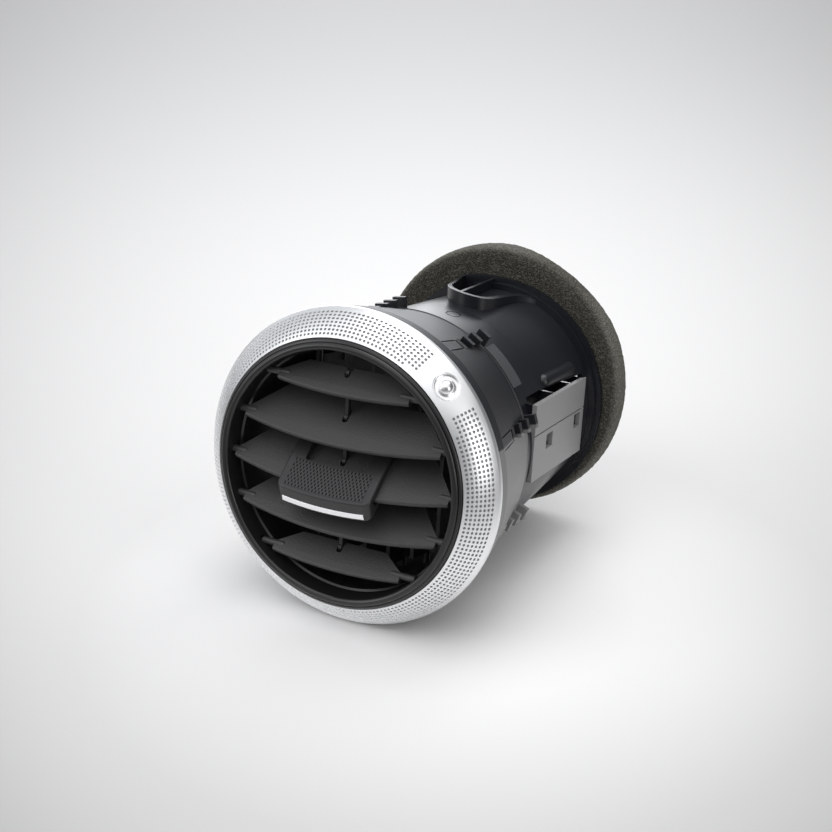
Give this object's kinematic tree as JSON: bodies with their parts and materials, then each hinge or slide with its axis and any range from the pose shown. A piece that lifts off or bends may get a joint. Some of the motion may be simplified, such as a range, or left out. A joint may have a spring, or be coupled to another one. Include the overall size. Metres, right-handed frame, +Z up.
{
  "type": "dashboard air vent",
  "caption": "Round dashboard air vent: aluminium ring that turns to shut a flap, tilting vanes with a slider knob, latched housing and foam-sealed inlet.",
  "frame": {"origin": "on the vent's axis, 1.5 mm ahead of the rear edge of the land that centres it in the dashboard opening", "axes": "+Y along the axis from the outlet to the inlet, +X to the right seen from the front, +Z up"},
  "size_m": [0.091, 0.1035, 0.0947],
  "materials": {
    "ring_aluminium": "turned and satin blasted, with a field of small dots",
    "carrier_black": "plain moulded",
    "bezel_black": "fine satin",
    "housing_grained": "fine moulded grain",
    "housing_satin": "satin moulded",
    "foam_grey": "open-cell foam, speckled",
    "vane_black": "fine moulded grain",
    "link_black": "plain moulded",
    "knob_black": "satin, with a pad of small dots",
    "bright_strip": "bright satin",
    "mechanism_plastic": "natural acetal",
    "seal_rubber": "soft"
  },
  "bodies": {
    "housing": {"inner_bezel": "bezel_black", "front_housing": "housing_grained", "rear_housing": "housing_satin", "side_cover": "housing_satin", "foam_seal": "foam_grey"},
    "ring": {"trim_ring": "ring_aluminium", "ring_carrier": "carrier_black"},
    "slider": {"control_slider": "mechanism_plastic"},
    "flap": {"flap_shaft": "mechanism_plastic", "flap_plate": "link_black", "flap_seal": "seal_rubber"},
    "centre_vane": {"vane_centre": "vane_black"},
    "top_vane": {"vane_top": "vane_black"},
    "upper_vane": {"vane_upper": "vane_black"},
    "lower_vane": {"vane_lower": "vane_black"},
    "bottom_vane": {"vane_bottom": "vane_black"},
    "tie_bar": {"vane_link": "link_black"},
    "knob": {"knob_upper": "knob_black", "knob_lower": "knob_black", "knob_trim_strip": "bright_strip", "knob_fork": "link_black"},
    "rear_tie": {"rear_link": "link_black"},
    "rear_vane_1": {"vertical_vane_1": "vane_black"},
    "rear_vane_2": {"vertical_vane_2": "vane_black"},
    "rear_vane_3": {"vertical_vane_3": "vane_black"},
    "rear_vane_4": {"vertical_vane_4": "vane_black"},
    "rear_vane_5": {"vertical_vane_5": "vane_black"},
    "rear_vane_6": {"vertical_vane_6": "vane_black"},
    "rear_vane_7": {"vertical_vane_7": "vane_black"}
  },
  "joints": [
    {"name": "ring_turn", "type": "hinge", "parent": "housing", "child": "ring", "pos_m": [0, 0, 0], "axis": [0, -1, 0], "range_deg": [0, 80]},
    {"name": "slider_slide", "type": "slide", "parent": "housing", "child": "slider", "axis": [0, 1, 0], "range_m": [0, 0.01101]},
    {"name": "flap_turn", "type": "hinge", "parent": "housing", "child": "flap", "pos_m": [0, 0.053, 0], "axis": [-1, 0, 0], "range_deg": [0, 87.6]},
    {"name": "vane_tilt", "type": "hinge", "parent": "housing", "child": "centre_vane", "pos_m": [0, -0.01, 0], "axis": [-1, 0, 0], "range_deg": [0, 80]},
    {"name": "knob_slide", "type": "slide", "parent": "centre_vane", "child": "knob", "axis": [1, 0, 0], "range_m": [-0.0042, 0.0068]},
    {"name": "tie_bar_turn", "type": "hinge", "parent": "centre_vane", "child": "tie_bar", "pos_m": [-0.0005, -0.00722, 0.00259], "axis": [-1, 0, 0], "range_deg": [-80, 0]},
    {"name": "top_vane_tilt", "type": "hinge", "parent": "housing", "child": "top_vane", "pos_m": [0, -0.01, 0.0251], "axis": [-1, 0, 0], "range_deg": [0, 80]},
    {"name": "upper_vane_tilt", "type": "hinge", "parent": "housing", "child": "upper_vane", "pos_m": [0, -0.01, 0.01255], "axis": [-1, 0, 0], "range_deg": [0, 80]},
    {"name": "lower_vane_tilt", "type": "hinge", "parent": "housing", "child": "lower_vane", "pos_m": [0, -0.01, -0.01255], "axis": [-1, 0, 0], "range_deg": [0, 80]},
    {"name": "bottom_vane_tilt", "type": "hinge", "parent": "housing", "child": "bottom_vane", "pos_m": [0, -0.01, -0.0251], "axis": [-1, 0, 0], "range_deg": [0, 80]},
    {"name": "rear_vane_1_turn", "type": "hinge", "parent": "housing", "child": "rear_vane_1", "pos_m": [-0.0228, 0.014, 0], "axis": [0, 0, 1], "range_deg": [-22.92, 37.1]},
    {"name": "rear_vane_2_turn", "type": "hinge", "parent": "housing", "child": "rear_vane_2", "pos_m": [-0.0152, 0.014, 0], "axis": [0, 0, 1], "range_deg": [-22.92, 37.1]},
    {"name": "rear_vane_3_turn", "type": "hinge", "parent": "housing", "child": "rear_vane_3", "pos_m": [-0.0076, 0.014, 0], "axis": [0, 0, 1], "range_deg": [-22.92, 37.1]},
    {"name": "rear_vane_4_turn", "type": "hinge", "parent": "housing", "child": "rear_vane_4", "pos_m": [0, 0.014, 0], "axis": [0, 0, 1], "range_deg": [-22.92, 37.1]},
    {"name": "rear_vane_5_turn", "type": "hinge", "parent": "housing", "child": "rear_vane_5", "pos_m": [0.0076, 0.014, 0], "axis": [0, 0, 1], "range_deg": [-22.92, 37.1]},
    {"name": "rear_vane_6_turn", "type": "hinge", "parent": "housing", "child": "rear_vane_6", "pos_m": [0.0152, 0.014, 0], "axis": [0, 0, 1], "range_deg": [-22.92, 37.1]},
    {"name": "rear_vane_7_turn", "type": "hinge", "parent": "housing", "child": "rear_vane_7", "pos_m": [0.0228, 0.014, 0], "axis": [0, 0, 1], "range_deg": [-22.92, 37.1]},
    {"name": "rear_tie_turn", "type": "hinge", "parent": "rear_vane_4", "child": "rear_tie", "pos_m": [0.00062, 0.01896, -0.0152], "axis": [0, 0, 1], "range_deg": [-37.1, 22.92]}
  ],
  "couplings": [
    {"joint": "slider_slide", "follows": "ring_turn", "m_per_rad": 0.0078782},
    {"joint": "flap_turn", "follows": "ring_turn", "ratio": 1.0942},
    {"joint": "tie_bar_turn", "follows": "vane_tilt", "ratio": -1},
    {"joint": "top_vane_tilt", "follows": "vane_tilt", "ratio": 1},
    {"joint": "upper_vane_tilt", "follows": "vane_tilt", "ratio": 1},
    {"joint": "lower_vane_tilt", "follows": "vane_tilt", "ratio": 1},
    {"joint": "bottom_vane_tilt", "follows": "vane_tilt", "ratio": 1},
    {"joint": "rear_vane_1_turn", "follows": "knob_slide", "rad_per_m": 95.2},
    {"joint": "rear_vane_2_turn", "follows": "knob_slide", "rad_per_m": 95.2},
    {"joint": "rear_vane_3_turn", "follows": "knob_slide", "rad_per_m": 95.2},
    {"joint": "rear_vane_4_turn", "follows": "knob_slide", "rad_per_m": 95.2},
    {"joint": "rear_vane_5_turn", "follows": "knob_slide", "rad_per_m": 95.2},
    {"joint": "rear_vane_6_turn", "follows": "knob_slide", "rad_per_m": 95.2},
    {"joint": "rear_vane_7_turn", "follows": "knob_slide", "rad_per_m": 95.2},
    {"joint": "rear_tie_turn", "follows": "knob_slide", "rad_per_m": -95.2}
  ]
}
